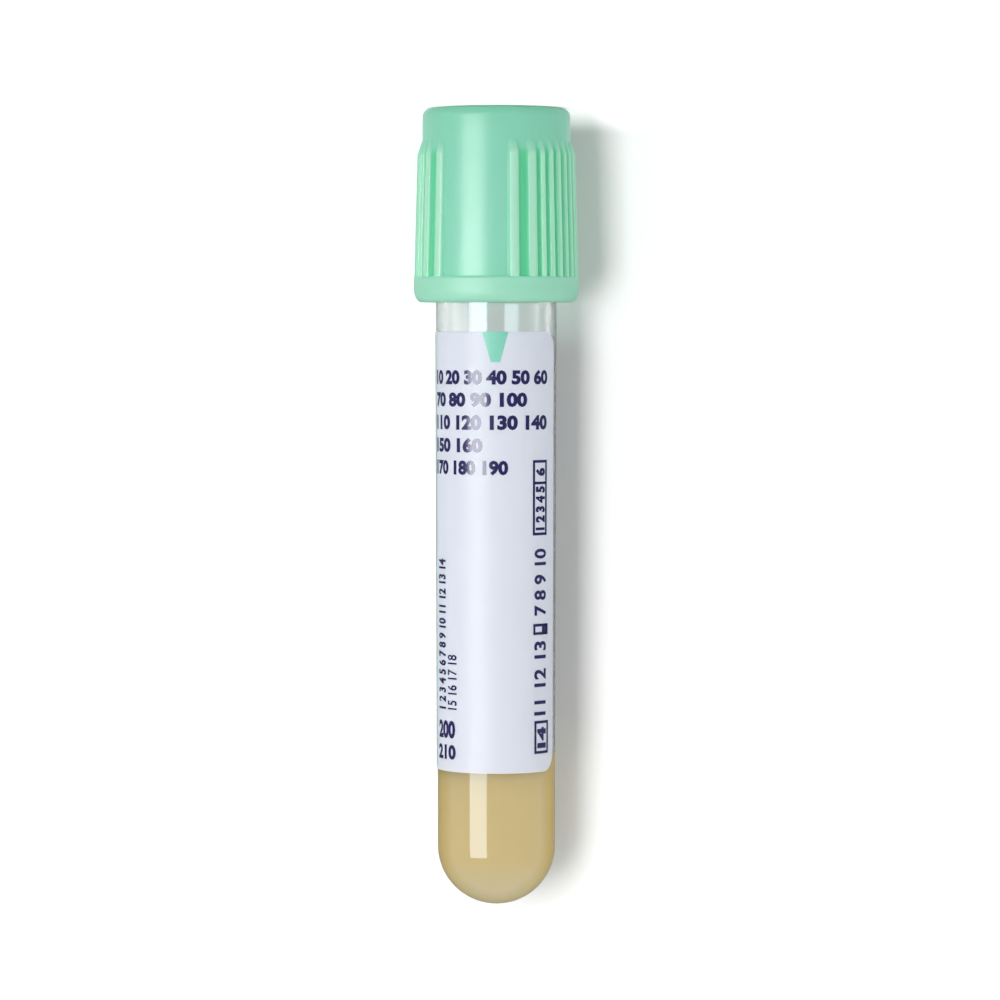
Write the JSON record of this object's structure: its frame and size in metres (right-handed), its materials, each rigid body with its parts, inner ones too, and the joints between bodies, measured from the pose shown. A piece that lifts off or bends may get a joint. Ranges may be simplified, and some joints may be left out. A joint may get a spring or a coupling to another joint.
{
  "type": "blood collection tube",
  "caption": "Evacuated plastic blood tube with a ribbed mint pull-off closure, rubber stopper, wrap label and gel plug in its round bottom.",
  "frame": {"origin": "centre of the closure's flat top face, which stands on the floor", "axes": "+Z along the tube's axis from the closure's top face towards the round bottom; -Y is the front, where the text side of the label and one smooth panel of the closure are"},
  "size_m": [0.0181, 0.018, 0.0874],
  "materials": {
    "shield": "mint-green moulded polypropylene, satin gloss",
    "stopper": "matt grey-green butyl rubber",
    "tube": "clear, glossy, faintly green moulded PET",
    "separator_gel": "tan translucent polymer gel",
    "label": "smooth coated white paper"
  },
  "bodies": {
    "closure": {"shield": "shield", "stopper": "stopper"},
    "tube_body": {"tube": "tube", "separator_gel": "separator_gel", "label": "label"}
  },
  "joints": [
    {"name": "closure_pull", "type": "slide", "parent": "closure", "child": "tube_body", "axis": [0, 0, 1], "range_m": [0, 0.025]}
  ]
}
